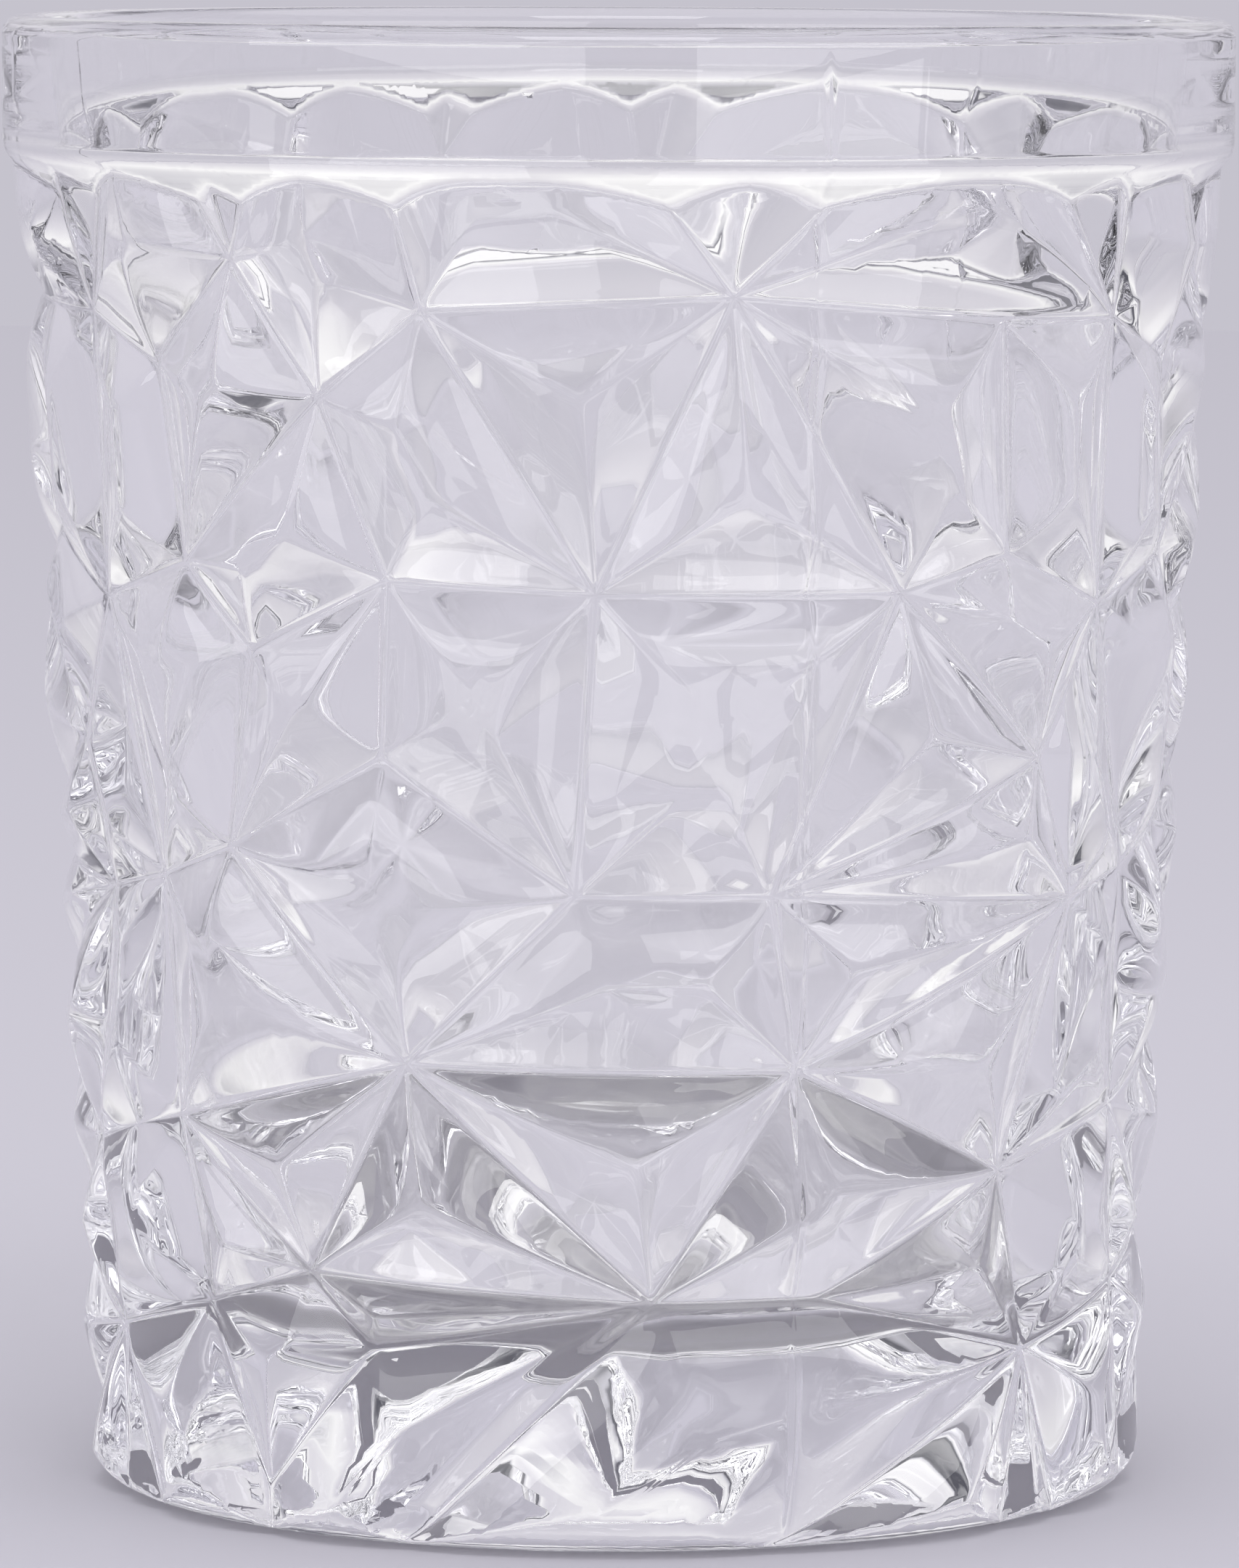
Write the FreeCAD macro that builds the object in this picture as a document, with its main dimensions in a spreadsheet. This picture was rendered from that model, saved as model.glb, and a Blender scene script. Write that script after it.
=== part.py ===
import FreeCAD, Part
import math
import os
import Sketcher

# Pressed glass whiskey tumbler, one piece of clear glass. Z points up, -Y is the front, and the
# origin is the centre of the foot, on the surface that the glass stands on. All lengths are in
# millimetres.
#
# The glass is built the way a press makes it: a blank of revolution (foot, body and rim band),
# a relief of V grooves that the side moulds leave on its outside, and a bowl left by the plunger.

# ---------------------------------------------------------------- driving sizes

SIZES = [
    ("glass_height", 98.0, "foot to lip"),
    ("rim_radius", 41.0, "outside of the plain band under the lip"),
    ("rim_wall", 2.6, "glass thickness at the lip"),
    ("lip_rounding", 1.2, "radius of the fire polished edges of the lip"),
    ("band_height", 8.9, "lip to the lower corner of the plain band"),
    ("band_bevel", 0.9, "length of the soft bevel on each side of that corner"),
    ("neck_step", 0.75, "how far the relief sits inside the band"),
    ("foot_radius", 35.2, "outside of the relief, produced down to the foot"),
    ("foot_wall", 6.2, "side wall at the bottom of the bowl"),
    ("floor_thickness", 11.5, "solid glass under the bowl"),
    ("bowl_corner", 6.0, "rounding between the wall and the floor of the bowl"),
    ("heel_rounding", 3.0, "how far the round heel reaches up the side and in under the glass"),
    ("heel_rise", 0.5, "how far the underside lifts at its outer edge"),
    ("heel_width", 6.7, "foot to the outside of the flat ring that the glass stands on"),
    ("stand_width", 6.5, "width of that ring"),
    ("punt_depth", 1.2, "hollow in the middle of the underside"),
    ("groove_depth", 1.5, "depth of the V grooves below the outside of the relief"),
    ("flank_angle", 14.0, "slope of the groove flanks in degrees"),
]

# The relief is a net of V grooves that meet in stars. It repeats round the glass.
REPEATS = 3
REPEAT_ANGLE = 360.0 / REPEATS
# The groove flanks follow the round of the glass in flat strips of this angle.
STRIP_ANGLE = 10.0
# The edges of the lip and of the heel are turned in this many short cones each, which keeps the
# mesh light.
LIP_STEPS = 4
HEEL_STEPS = 4
# The least flat land between the two edges of the lip.
LIP_LAND = 0.1
# The net runs this far past the relief, above and below it.
RUN_OUT = 3.5
# The blank stands this much proud of the relief, so that the side moulds shape all of it.
PRESS_ALLOWANCE = 0.05
# Room round the glass for the solids that only cut.
CLEARANCE = 5.0
# A point this close to a line or a plane lies on it.
NEAR = 1e-7
# Two points this close are one.
SAME_POINT = 1e-5

# Stars: an angle in degrees from the front towards +X, and a height as a share of the relief's.
# The letter is the row, from the rim (A) down to the foot (H). The outer rows are on the
# run-out lines above and below the relief, so the lowest grooves run out through the heel.
TOP = "top"
BOTTOM = "bottom"
STARS = {
    "A1": (-60, TOP), "A2": (-50, TOP), "A3": (-36, TOP), "A4": (-24, TOP),
    "A5": (-1, TOP), "A6": (28, TOP), "A7": (43, TOP),
    "B1": (-63, 0.895), "B2": (-51, 0.861), "B3": (-40, 0.940), "B4": (-19, 0.906),
    "B5": (11, 0.917), "B6": (40, 0.898),
    "C1": (-30, 0.841), "C2": (-48, 0.717), "C3": (-23, 0.711), "C4": (-2, 0.704),
    "C5": (29, 0.702), "C6": (42, 0.727), "C7": (-63, 0.685),
    "D1": (-39, 0.656), "D2": (-24, 0.583), "D3": (48, 0.575),
    "E1": (-43, 0.510), "E2": (-54, 0.484), "E3": (-4, 0.485), "E4": (16, 0.485),
    "E5": (55, 0.469),
    "F1": (-22, 0.360), "F2": (19, 0.357), "F3": (-53, 0.306), "F4": (45, 0.272),
    "G1": (-34, 0.202), "G2": (-49, 0.170), "G3": (-27, 0.148), "G4": (4, 0.188),
    "G5": (22, 0.189), "G6": (50.5, 0.136), "G7": (-41, 0.037),
    "H1": (-41, BOTTOM), "H2": (-29, BOTTOM), "H3": (7, BOTTOM), "H4": (48, BOTTOM),
    "H5": (61, BOTTOM),
}

# Cells between the grooves, each named by its stars. A plus sign is the star one repeat on.
CELLS = [
    "A1 A2 B3 B2 B1", "A2 A3 B3", "A3 A4 B4 C1 B3", "A4 A5 B5 B4", "A5 A6 B5",
    "A6 A7 B1+ B6 B5", "A7 A1+ B1+",
    "B1 B2 C2 C7", "B2 B3 C1 C2", "C1 B4 C4 C3", "B4 B5 C4", "B5 C5 C4", "B5 B6 C6 C5",
    "B6 B1+ C7+ C6",
    "C2 C1 C3 D1", "C7 C2 D1 E1 E2", "D1 C3 D2 E1", "C3 C4 E3 D2", "C4 C5 E4 E3",
    "C5 C6 C7+ D3", "C5 D3 E4", "C7+ E2+ E5 D3", "E4 D3 E5",
    "D2 E3 F1 E1", "E3 E4 F2 F1", "E4 E5 F2", "E2 E1 F1 F3", "E5 E2+ F3+ F4", "F2 E5 F4",
    "F1 F2 G4", "F1 G4 G1", "F3 F1 G1", "F2 F4 G5 G4", "F4 G6 G5", "F3 G1 G2", "F4 F3+ G2+ G6",
    "G1 G4 G3", "G1 G3 G7 G2", "G3 G4 H2 H1 G7", "G4 G5 G6 H3 H2", "G6 H4 H3", "G6 H5 H4",
    "G6 G2+ G7+ H1+ H5",
]

# ---------------------------------------------------------------- the document and its sheet

doc = FreeCAD.newDocument("whiskey_tumbler")
sheet = doc.addObject("Spreadsheet::Sheet", "sizes")
for row, (alias, value, note) in enumerate(SIZES, start=1):
    sheet.set(f"A{row}", alias)
    sheet.set(f"B{row}", str(value))
    sheet.set(f"C{row}", note)
    sheet.setAlias(f"B{row}", alias)
doc.recompute()


def size(alias):
    """Value of one driving size."""
    return float(sheet.get(alias))


def relief_top():
    """Height at which the outside of the relief meets the neck under the band."""
    return size("glass_height") - size("band_height") - size("neck_step")


def outside_radius(height):
    """Radius of the tapered outside of the relief at a height."""
    top_radius = size("rim_radius") - size("neck_step")
    slope = (top_radius - size("foot_radius")) / relief_top()
    return size("foot_radius") + slope * height


# ---------------------------------------------------------------- solids of revolution

def origin_feature(body, role):
    """One of the body's own origin planes or axes."""
    return next(item for item in body.Origin.OriginFeatures if item.Role == role)


def revolved_body(name, corners):
    """Body turned about Z from a closed outline of (radius, height) corners.

    Each coordinate is an expression on the sheet. The first and last corners lie on the axis.
    """
    body = doc.addObject("PartDesign::Body", name)
    body.Label = name
    sketch = body.newObject("Sketcher::SketchObject", name + "_outline")
    sketch.AttachmentSupport = (origin_feature(body, "XZ_Plane"), "")
    sketch.MapMode = "FlatFace"
    doc.recompute()
    points = [FreeCAD.Vector(sketch.evalExpression(radius), sketch.evalExpression(height), 0)
              for radius, height in corners]
    count = len(points)
    for index, start in enumerate(points):
        sketch.addGeometry(Part.LineSegment(start, points[(index + 1) % count]))
    for index in range(count):
        sketch.addConstraint(Sketcher.Constraint("Coincident", index, 2, (index + 1) % count, 1))
    upright_axis, level_axis, origin = -2, -1, (-1, 1)
    for index, (radius, height) in enumerate(corners):
        for kind, expression, zero_line in (("DistanceX", radius, upright_axis),
                                            ("DistanceY", height, level_axis)):
            if expression == "0":
                sketch.addConstraint(Sketcher.Constraint("PointOnObject", index, 1, zero_line))
                continue
            value = sketch.evalExpression(expression)
            number = sketch.addConstraint(Sketcher.Constraint(kind, *origin, index, 1, value))
            sketch.setExpression(f"Constraints[{number}]", expression)
    turn = body.newObject("PartDesign::Revolution", name + "_turned")
    turn.Profile = sketch
    turn.ReferenceAxis = (sketch, ["V_Axis"])
    turn.Angle = 360.0
    doc.recompute()
    return body


def lip_edge(side, start, end):
    """Corners of a quarter round of the lip, between two angles in degrees, as expressions.

    Side is the glass's own side there, and the round curves from it towards the lip's middle.
    """
    to_middle = 1 if start > end else -1
    angles = [start + (end - start) * step / LIP_STEPS for step in range(LIP_STEPS + 1)]
    return [(f"{side} + {LIP_ROUND} * ({to_middle} + cos({angle} deg))",
             f"sizes.glass_height - {LIP_ROUND} * (1 - sin({angle} deg))")
            for angle in angles]


def heel_edge():
    """Corners of the round heel, from the underside up to the side, as expressions.

    They lie on a parabola that touches the underside and the side.
    """
    corners = []
    for step in range(HEEL_STEPS + 1):
        inwards, upwards = (1 - step / HEEL_STEPS) ** 2, (step / HEEL_STEPS) ** 2
        corners.append((
            f"{HEEL} + ({upwards} * {TAPER} / {RELIEF_TOP} - {inwards}) * sizes.heel_rounding",
            f"sizes.heel_rise + ({upwards} - {inwards} * sizes.heel_rise / sizes.heel_width)"
            " * sizes.heel_rounding"))
    return corners


def edges_at(shape, radius, height):
    """Names of the round edges of a shape at a radius and a height."""
    names = []
    for number, edge in enumerate(shape.Edges, start=1):
        if edge.Curve.TypeId != "Part::GeomCircle":
            continue
        near_radius = abs(edge.Curve.Radius - radius) < 0.01
        near_height = abs(edge.Curve.Center.z - height) < 0.01
        if near_radius and near_height:
            names.append(f"Edge{number}")
    return names


def round_corner(body, name, radius, height, rounding):
    """Fillet of the body's round edge at a radius and a height, sized by a cell of the sheet."""
    names = edges_at(body.Shape, radius, height)
    last = body.Tip
    fillet = body.newObject("PartDesign::Fillet", name)
    fillet.Base = (last, names)
    fillet.setExpression("Radius", "sizes." + rounding)
    doc.recompute()


# ---------------------------------------------------------------- the blank

# The two rounds of the lip never take more than its wall.
LIP_ROUND = f"min(sizes.lip_rounding; (sizes.rim_wall - {LIP_LAND}) / 2)"
TAPER = "(sizes.rim_radius - sizes.neck_step - sizes.foot_radius)"
RELIEF_TOP = "(sizes.glass_height - sizes.band_height - sizes.neck_step)"
BLANK_FOOT = f"sizes.foot_radius + {PRESS_ALLOWANCE}"
STAND = "(sizes.foot_radius - sizes.heel_width)"
# Where the side and the underside would meet if the heel were sharp.
HEEL = f"{BLANK_FOOT} + {TAPER} / {RELIEF_TOP} * sizes.heel_rise"
# The blank's side ends in a square shoulder under the band, which the side moulds remove.
SHOULDER = f"{RELIEF_TOP} - sizes.band_height"
SHOULDER_SIDE = f"{BLANK_FOOT} + {TAPER} / {RELIEF_TOP} * ({SHOULDER})"

blank = revolved_body("blank", [
    ("0", "sizes.punt_depth"),
    (f"{STAND} - sizes.stand_width", "0"),
    (STAND, "0"),
    *heel_edge(),
    (SHOULDER_SIDE, SHOULDER),
    ("sizes.rim_radius", SHOULDER),
    *lip_edge("sizes.rim_radius", 0, 90),
    ("0", "sizes.glass_height"),
])

# ---------------------------------------------------------------- the plunger

BOWL_FLOOR = ("sizes.foot_radius + " + TAPER + " / " + RELIEF_TOP
              + " * sizes.floor_thickness - sizes.foot_wall")
MOUTH = "sizes.rim_radius - sizes.rim_wall"
plunger = revolved_body("plunger", [
    ("0", "sizes.floor_thickness"),
    (BOWL_FLOOR, "sizes.floor_thickness"),
    *lip_edge(MOUTH, 180, 90),
    (f"{MOUTH} + {LIP_ROUND}", f"sizes.glass_height + {CLEARANCE}"),
    ("0", f"sizes.glass_height + {CLEARANCE}"),
])
floor_radius = outside_radius(size("floor_thickness")) - size("foot_wall")
round_corner(plunger, "bowl_rounding", floor_radius, size("floor_thickness"), "bowl_corner")

# ---------------------------------------------------------------- the relief

def star(name):
    """Angle and height of a star, or of its copy one repeat on."""
    angle, share = STARS[name.rstrip("+")]
    if name.endswith("+"):
        angle += REPEAT_ANGLE
    if share == TOP:
        return angle, relief_top() + RUN_OUT
    if share == BOTTOM:
        return angle, -RUN_OUT
    return angle, share * relief_top()


def clip(polygon, side):
    """Part of a convex polygon where side(point), a linear function, is not negative."""
    kept = []
    for index, point in enumerate(polygon):
        after = polygon[(index + 1) % len(polygon)]
        here, there = side(point), side(after)
        if here >= -NEAR:
            kept.append(point)
        if (here > NEAR and there < -NEAR) or (here < -NEAR and there > NEAR):
            part = here / (here - there)
            kept.append(tuple(a + part * (b - a) for a, b in zip(point, after)))
    distinct = [point for index, point in enumerate(kept)
                if math.dist(point, kept[index - 1]) > SAME_POINT]
    return distinct if len(distinct) > 2 else []


def groove_lines(corners):
    """Inward distance functions of the grooves round a flattened cell.

    The cell's edges on the run-out lines above and below the relief have no groove.
    """
    lines = []
    for index, (across, height) in enumerate(corners):
        next_across, next_height = corners[(index + 1) % len(corners)]
        if height == next_height and not 0 <= height <= relief_top():
            continue
        length = math.dist((across, height), (next_across, next_height))
        normal = ((height - next_height) / length, (next_across - across) / length)
        offset = normal[0] * across + normal[1] * height
        lines.append(lambda point, n=normal, o=offset: n[0] * point[0] + n[1] * point[1] - o)
    return lines


def cut_in_strips(piece, width):
    """Pieces of a flattened polygon between upright lines that are a strip's width apart."""
    across = [point[0] for point in piece]
    strips = []
    for step in range(math.floor(min(across) / width), math.ceil(max(across) / width)):
        strip = clip(piece, lambda point: point[0] - step * width)
        if strip:
            strip = clip(strip, lambda point: (step + 1) * width - point[0])
        if strip:
            strips.append(strip)
    return strips


def cell_facets(names):
    """Facets of one cell, as lists of points in space.

    The cell is laid flat at its own mean radius. Flanks rise from its grooves at the flank
    angle and meet in hips. Past the grooves' half width the cell keeps the tapered outside.
    """
    stars = [star(name) for name in names]
    radius = outside_radius(sum(height for _, height in stars) / len(stars))
    flat = [(radius * math.radians(angle), height) for angle, height in stars]
    turned = sum(a[0] * b[1] - b[0] * a[1] for a, b in zip(flat, flat[1:] + flat[:1]))
    if turned < 0:
        flat.reverse()
    lines = groove_lines(flat)
    slope = math.tan(math.radians(size("flank_angle")))
    half_width = size("groove_depth") / slope

    def in_space(point):
        rise = min(half_width, max(0.0, min(line(point) for line in lines))) * slope
        reach = outside_radius(point[1]) - size("groove_depth") + rise
        angle = point[0] / radius
        return FreeCAD.Vector(reach * math.sin(angle), -reach * math.cos(angle), point[1])

    pieces = []
    plateau = flat
    for line in lines:
        flank = clip(flat, lambda point: half_width - line(point))
        for other in lines:
            if other is not line and flank:
                flank = clip(flank, lambda point: other(point) - line(point))
        pieces.append(flank)
        if plateau:
            plateau = clip(plateau, lambda point: line(point) - half_width)
    pieces.append(plateau)
    width = radius * math.radians(STRIP_ANGLE)
    return [[in_space(point) for point in strip]
            for piece in filter(None, pieces) for strip in cut_in_strips(piece, width)]


def flat_faces(points):
    """One flat face where the points lie in a plane, or else a fan of triangles."""
    normal = (points[1] - points[0]).cross(points[2] - points[0])
    level = all(abs((point - points[0]).dot(normal)) < NEAR * normal.Length
                for point in points[3:])
    outlines = [points] if level else [points[:1] + points[index:index + 2]
                                       for index in range(1, len(points) - 1)]
    return [Part.Face(Part.makePolygon(outline + outline[:1])) for outline in outlines]


def end_cap(facets, height):
    """Flat lid over the net where it ends, above or below the relief."""
    rim = {round(math.atan2(point.y, point.x), 6): point
           for facet in facets for point in facet if abs(point.z - height) < NEAR}
    ring = [rim[angle] for angle in sorted(rim)]
    return Part.Face(Part.makePolygon(ring + ring[:1]))


def relief_solid():
    """The round of the glass inside the side moulds, with every cell of the relief on it."""
    one_repeat = [facet for cell in CELLS for facet in cell_facets(cell.split())]
    facets = []
    for repeat in range(REPEATS):
        turn = FreeCAD.Rotation(FreeCAD.Vector(0, 0, 1), repeat * REPEAT_ANGLE)
        facets += [[turn.multVec(point) for point in facet] for facet in one_repeat]
    faces = [face for facet in facets for face in flat_faces(facet)]
    faces += [end_cap(facets, -RUN_OUT), end_cap(facets, relief_top() + RUN_OUT)]
    skin = Part.makeShell(faces)
    skin.sewShape()
    solid = Part.makeSolid(skin)
    if solid.Volume < 0:
        solid.reverse()
    return solid


relief = doc.addObject("Part::Feature", "relief")
relief.Label = "relief"
relief.Shape = relief_solid()
relief.Placement = FreeCAD.Placement()

# Everything under the neck. The neck is a cone that rises outwards at 45 degrees to the band's
# lower corner, where a steeper cone takes the sharp edge off.
CORNER = "(sizes.glass_height - sizes.band_height)"
NECK_IN = f"(2 * {CLEARANCE})"
under_neck = revolved_body("under_neck", [
    ("0", "0"),
    (f"sizes.rim_radius + {CLEARANCE}", "0"),
    (f"sizes.rim_radius + {CLEARANCE}",
     f"{CORNER} + sizes.band_bevel + {CLEARANCE} * (1 + sqrt(2))"),
    ("sizes.rim_radius - sizes.band_bevel / sqrt(2)", f"{CORNER} - sizes.band_bevel / sqrt(2)"),
    (f"sizes.rim_radius - sizes.neck_step - {NECK_IN}", f"{RELIEF_TOP} - {NECK_IN}"),
    ("0", f"{RELIEF_TOP} - {NECK_IN}"),
])


# ---------------------------------------------------------------- pressing

def cut(name, base, tool):
    """One solid less another."""
    result = doc.addObject("Part::Cut", name)
    result.Label = name
    result.Base = base
    result.Tool = tool
    doc.recompute()
    return result


side_moulds = cut("side_moulds", under_neck, relief)
pressed_outside = cut("pressed_outside", blank, side_moulds)
tumbler = cut("tumbler", pressed_outside, plunger)

# ---------------------------------------------------------------- checks and output

for item in doc.Objects:
    if "Invalid" in item.State or "Error" in item.State:
        raise RuntimeError(f"{item.Name} failed: {item.State}")
for item in (blank, plunger, relief, under_neck, tumbler):
    if item.Shape.isNull() or not item.Shape.isValid() or len(item.Shape.Solids) != 1:
        raise RuntimeError(f"{item.Name} is not one valid solid")

os.makedirs("parts", exist_ok=True)
tumbler.Shape.exportStep(os.path.join("parts", tumbler.Label + ".step"))
bowl = pressed_outside.Shape.Volume - tumbler.Shape.Volume
print(f"glass {tumbler.Shape.Volume / 1000:.1f} cm3, bowl {bowl / 1000:.1f} cm3 to the brim, "
      f"{len(tumbler.Shape.Faces)} faces")
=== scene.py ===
"""Pressed glass whiskey tumbler: its finished glass, and the studio that it stands in.

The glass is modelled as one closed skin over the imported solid. One repeat of it is made here, with
the star relief of its side, and a node tree turns the repeats round the glass and gives the skin
the slow waves of pressed glass.
"""

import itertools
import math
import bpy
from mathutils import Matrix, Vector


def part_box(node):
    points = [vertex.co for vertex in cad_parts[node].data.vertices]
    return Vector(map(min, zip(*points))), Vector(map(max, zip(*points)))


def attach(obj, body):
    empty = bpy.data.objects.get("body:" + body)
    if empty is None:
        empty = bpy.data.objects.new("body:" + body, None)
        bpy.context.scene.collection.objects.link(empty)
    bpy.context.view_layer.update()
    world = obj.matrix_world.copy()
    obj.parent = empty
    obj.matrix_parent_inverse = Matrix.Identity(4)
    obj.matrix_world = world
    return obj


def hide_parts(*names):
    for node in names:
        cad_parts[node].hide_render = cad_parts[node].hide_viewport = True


bl_info = {
    "name": "Pressed Glass Tumbler",
    "version": (1, 0, 0),
    "blender": (4, 5, 0),
    "location": "View3D > Sidebar > Tumbler",
    "description": "Makes a pressed glass tumbler with a star relief, and a plain studio for it",
    "category": "Object",
}

import bpy
from bpy.props import FloatProperty, FloatVectorProperty, IntProperty, PointerProperty
from mathutils import Vector
from mathutils.geometry import delaunay_2d_cdt

MM = 0.001
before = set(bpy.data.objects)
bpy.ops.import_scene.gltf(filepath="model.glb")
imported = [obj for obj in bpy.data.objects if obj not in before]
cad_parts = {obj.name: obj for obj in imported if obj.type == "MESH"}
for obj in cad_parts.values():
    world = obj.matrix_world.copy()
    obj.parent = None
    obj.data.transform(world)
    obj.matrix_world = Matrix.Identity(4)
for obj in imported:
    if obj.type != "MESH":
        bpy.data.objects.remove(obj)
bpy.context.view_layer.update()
GLASS_NODE = "tumbler"
GLASS_LOW, GLASS_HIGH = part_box(GLASS_NODE)

# ---------------------------------------------------------------- sizes and finishes

REPEATS = 3
REPEAT_ANGLE = math.tau / REPEATS


class TumblerShape(bpy.types.PropertyGroup):
    """Sizes of the glass that its bounding box doesn't give"""

    rim_wall: FloatProperty(
        name="Rim Wall", description="Glass thickness at the lip", default=2.6 * MM, unit="LENGTH")
    lip_rounding: FloatProperty(
        name="Lip Rounding", description="Radius of the fire polished edges of the lip",
        default=1.25 * MM, unit="LENGTH")
    band_height: FloatProperty(
        name="Band Height", description="Lip to the lower corner of the plain band",
        default=8.9 * MM, unit="LENGTH")
    band_rounding: FloatProperty(
        name="Band Rounding", description="Radius of the band's soft lower corner",
        default=2.0 * MM, unit="LENGTH")
    neck_step: FloatProperty(
        name="Neck Step", description="How far the relief sits inside the band",
        default=0.75 * MM, unit="LENGTH")
    foot_radius: FloatProperty(
        name="Foot Radius", description="Outside of the relief, produced down to the foot",
        default=35.2 * MM, unit="LENGTH")
    foot_wall: FloatProperty(
        name="Foot Wall", description="Side wall at the bottom of the bowl", default=6.2 * MM,
        unit="LENGTH")
    floor_thickness: FloatProperty(
        name="Floor Thickness", description="Solid glass under the bowl", default=11.5 * MM,
        unit="LENGTH")
    bowl_corner: FloatProperty(
        name="Bowl Corner", description="Rounding between the bowl's wall and its floor",
        default=6.0 * MM, unit="LENGTH")
    heel_rounding: FloatProperty(
        name="Heel Rounding", description="Corner between the side and the underside",
        default=3.0 * MM, unit="LENGTH")
    heel_rise: FloatProperty(
        name="Heel Rise", description="How far the underside lifts at its outer edge",
        default=0.5 * MM, unit="LENGTH")
    heel_width: FloatProperty(
        name="Heel Width", description="Foot to the outside of the ring that the glass stands on",
        default=6.7 * MM, unit="LENGTH")
    stand_width: FloatProperty(
        name="Stand Width", description="Width of that ring", default=6.5 * MM, unit="LENGTH")
    punt_depth: FloatProperty(
        name="Punt Depth", description="Hollow in the middle of the underside",
        default=1.2 * MM, unit="LENGTH")
    groove_depth: FloatProperty(
        name="Groove Depth", description="Depth of the grooves below the outside of the relief",
        default=1.5 * MM, unit="LENGTH")
    groove_reach: FloatProperty(
        name="Groove Reach", description="Groove to where its curved flank reaches the outside",
        default=6.0 * MM, unit="LENGTH")
    groove_softness: FloatProperty(
        name="Groove Softness", description="Rounding at the bottom of the grooves",
        default=0.2 * MM, unit="LENGTH")
    hip_softness: FloatProperty(
        name="Hip Softness", description="Rounding where two flanks meet", default=0.45 * MM,
        unit="LENGTH")
    seam_height: FloatProperty(
        name="Seam Height", description="Ridge that the joint between two side moulds leaves",
        default=0.09 * MM, unit="LENGTH")
    seam_width: FloatProperty(
        name="Seam Width", description="Half width of that ridge", default=0.3 * MM, unit="LENGTH")
    seam_angle: FloatProperty(
        name="Seam Angle", description="Place of the first seam, from the front towards +X",
        default=math.radians(19.0), unit="ROTATION")
    wave_height: FloatProperty(
        name="Wave Height", description="Height of the slow waves in the glass's skin",
        default=0.04 * MM, unit="LENGTH")
    wave_scale: FloatProperty(
        name="Wave Scale", description="Waves per metre of skin", default=60.0)
    seed: IntProperty(name="Seed", description="Picks the pattern of the waves", default=4)


class GlassFinish(bpy.types.PropertyGroup):
    """Colour and polish of the glass"""

    tint: FloatVectorProperty(
        name="Tint", description="Colour that thick glass takes on", subtype="COLOR", size=3,
        min=0.0, max=1.0, default=(0.86, 0.86, 0.92))
    tint_density: FloatProperty(
        name="Tint Density", description="How fast the tint deepens, per metre", default=4.0)
    index: FloatProperty(
        name="Index", description="Refractive index of the glass", default=1.52)
    polish: FloatProperty(
        name="Polish", description="Roughness of the fire polished skin", default=0.0,
        subtype="FACTOR")
    stand_wear: FloatProperty(
        name="Stand Wear", description="Roughness where the glass rubs on the table", default=0.35,
        subtype="FACTOR")
    speck_size: FloatProperty(
        name="Speck Size", description="Radius of a dust speck", default=0.13 * MM, unit="LENGTH")
    speck_scale: FloatProperty(
        name="Speck Scale", description="Dust specks per metre", default=110.0)
    ripple_height: FloatProperty(
        name="Ripple Height", description="Height of the fine ripples in the skin",
        default=0.002 * MM, unit="LENGTH")
    ripple_scale: FloatProperty(
        name="Ripple Scale", description="Fine ripples per metre", default=250.0)


class StudioSet(bpy.types.PropertyGroup):
    """Table, surroundings, lamps and camera"""

    table_colour: FloatVectorProperty(
        name="Table Colour", description="Colour of the pale table", subtype="COLOR", size=3,
        min=0.0, max=1.0, default=(0.64, 0.62, 0.70))
    table_roughness: FloatProperty(
        name="Table Roughness", description="Roughness of the table", default=0.9,
        subtype="FACTOR")
    ambient: FloatProperty(
        name="Ambient", description="Even light of the room on the table", default=0.83)
    table_radius: FloatProperty(
        name="Table Radius", description="Radius of the table top", default=1.6, unit="LENGTH")
    camera_distance: FloatProperty(
        name="Camera Distance", description="Camera to the glass's axis, along the floor",
        default=0.661, unit="LENGTH")
    camera_height: FloatProperty(
        name="Camera Height", description="Height of the camera", default=0.10927, unit="LENGTH")
    camera_pitch: FloatProperty(
        name="Camera Pitch", description="How far the camera looks down",
        default=math.radians(5.408), unit="ROTATION")
    camera_roll: FloatProperty(
        name="Camera Roll", description="How far the camera leans to its left",
        default=math.radians(0.23), unit="ROTATION")
    inner_turns: IntProperty(
        name="Inner Turns", description="How often a ray may be turned back inside the glass",
        default=24)
    lens: FloatProperty(
        name="Lens", description="Focal length in millimetres", default=227.5)


# ---------------------------------------------------------------- the net of grooves

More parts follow.
